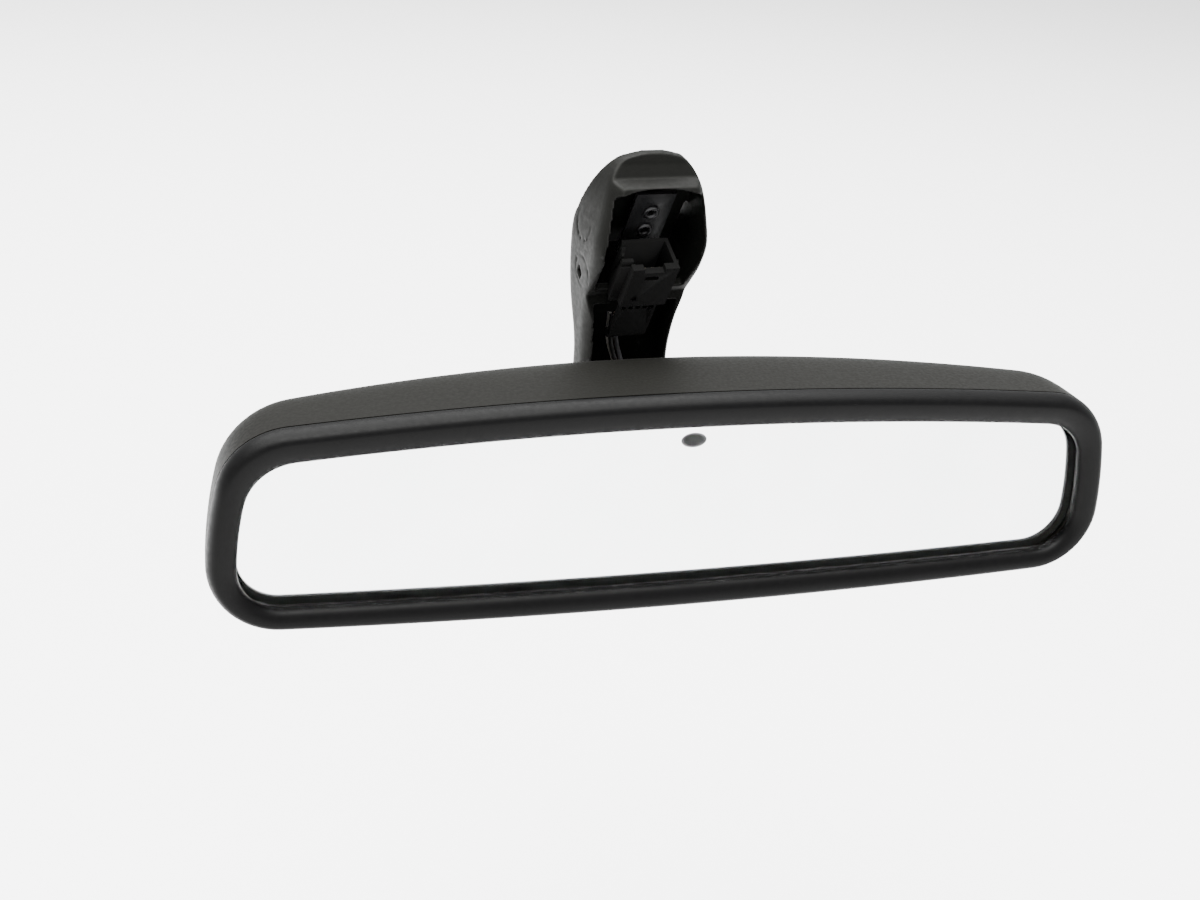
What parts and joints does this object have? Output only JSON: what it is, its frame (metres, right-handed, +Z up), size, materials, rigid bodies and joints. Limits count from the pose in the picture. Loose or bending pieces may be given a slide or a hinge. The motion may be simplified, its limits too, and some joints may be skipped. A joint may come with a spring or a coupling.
{
  "type": "interior rearview mirror",
  "caption": "Black interior rearview mirror with a self-dimming glass, a glare sensor window, a ball joint and a windscreen arm with an open connector channel.",
  "frame": {"origin": "middle of the outer face of the steel plate on the arm, which is glued to the windscreen", "axes": "+X along the width of the head, to the right as the driver faces it; +Y from the driver towards the windscreen; +Z up. The glass faces -Y."},
  "size_m": [0.2473, 0.0738, 0.1117],
  "materials": {
    "bezel": "fine moulded grain",
    "rear_housing": "fine moulded grain",
    "front_glass": "clear ground-edge glass",
    "electrochromic_layer": "clear gel",
    "rear_mirror_glass": "silvered",
    "sensor_window": "dark translucent",
    "bus_clip_upper": "tinned",
    "bus_clip_lower": "tinned",
    "foam_pad": "closed-cell foam",
    "glass_carrier": "moulded",
    "circuit_board": "solder mask",
    "glare_sensor": "dark resin",
    "ambient_sensor": "dark resin",
    "light_window": "smoked clear plastic",
    "board_connector": "natural nylon",
    "loom_plug": "natural nylon",
    "inner_loom": "taped loom",
    "socket_housing": "die cast",
    "socket_screw_1": "zinc plated",
    "socket_screw_2": "zinc plated",
    "socket_screw_3": "zinc plated",
    "ball_liner": "natural acetal",
    "socket_spring_ring": "blued spring steel",
    "arm_shell": "grained glass-filled nylon",
    "ball_stud": "die cast",
    "windscreen_plate": "sintered steel",
    "connector_shroud": "moulded",
    "wire_cover": "moulded",
    "foot_spring_clamp": "blackened spring steel",
    "terminal_pin_1": "tin-plated brass",
    "terminal_pin_2": "tin-plated brass",
    "terminal_pin_3": "tin-plated brass",
    "terminal_pin_4": "tin-plated brass",
    "terminal_pin_5": "tin-plated brass",
    "clamp_rivet_1": "blackened steel",
    "clamp_rivet_2": "blackened steel",
    "lead_white": "insulated wire",
    "lead_brown": "insulated wire",
    "lead_black": "insulated wire",
    "lead_grey": "insulated wire"
  },
  "bodies": {
    "arm": {"arm_shell": "arm_shell", "ball_stud": "ball_stud", "windscreen_plate": "windscreen_plate", "connector_shroud": "connector_shroud", "wire_cover": "wire_cover", "foot_spring_clamp": "foot_spring_clamp", "clamp_rivet_1": "clamp_rivet_1", "clamp_rivet_2": "clamp_rivet_2", "terminal_pin_1": "terminal_pin_1", "terminal_pin_2": "terminal_pin_2", "terminal_pin_3": "terminal_pin_3", "terminal_pin_4": "terminal_pin_4", "terminal_pin_5": "terminal_pin_5", "lead_white": "lead_white", "lead_brown": "lead_brown", "lead_black": "lead_black", "lead_grey": "lead_grey"},
    "liner": {"ball_liner": "ball_liner"},
    "ring": {"socket_spring_ring": "socket_spring_ring"},
    "head": {"bezel": "bezel", "rear_housing": "rear_housing", "front_glass": "front_glass", "electrochromic_layer": "electrochromic_layer", "rear_mirror_glass": "rear_mirror_glass", "sensor_window": "sensor_window", "bus_clip_upper": "bus_clip_upper", "bus_clip_lower": "bus_clip_lower", "foam_pad": "foam_pad", "glass_carrier": "glass_carrier", "circuit_board": "circuit_board", "glare_sensor": "glare_sensor", "ambient_sensor": "ambient_sensor", "light_window": "light_window", "board_connector": "board_connector", "loom_plug": "loom_plug", "inner_loom": "inner_loom", "socket_housing": "socket_housing", "socket_screw_1": "socket_screw_1", "socket_screw_2": "socket_screw_2", "socket_screw_3": "socket_screw_3"}
  },
  "joints": [
    {"name": "head_yaw", "type": "hinge", "parent": "arm", "child": "liner", "pos_m": [0.00437, -0.03558, -0.0662], "axis": [0, 0, 1], "range_deg": [-16, 16]},
    {"name": "head_pitch", "type": "hinge", "parent": "liner", "child": "ring", "pos_m": [0.00437, -0.03558, -0.0662], "axis": [1, 0, 0], "range_deg": [-14, 14]},
    {"name": "head_roll", "type": "hinge", "parent": "ring", "child": "head", "pos_m": [0.00437, -0.03558, -0.0662], "axis": [0, 1, 0], "range_deg": [-12, 12]}
  ]
}
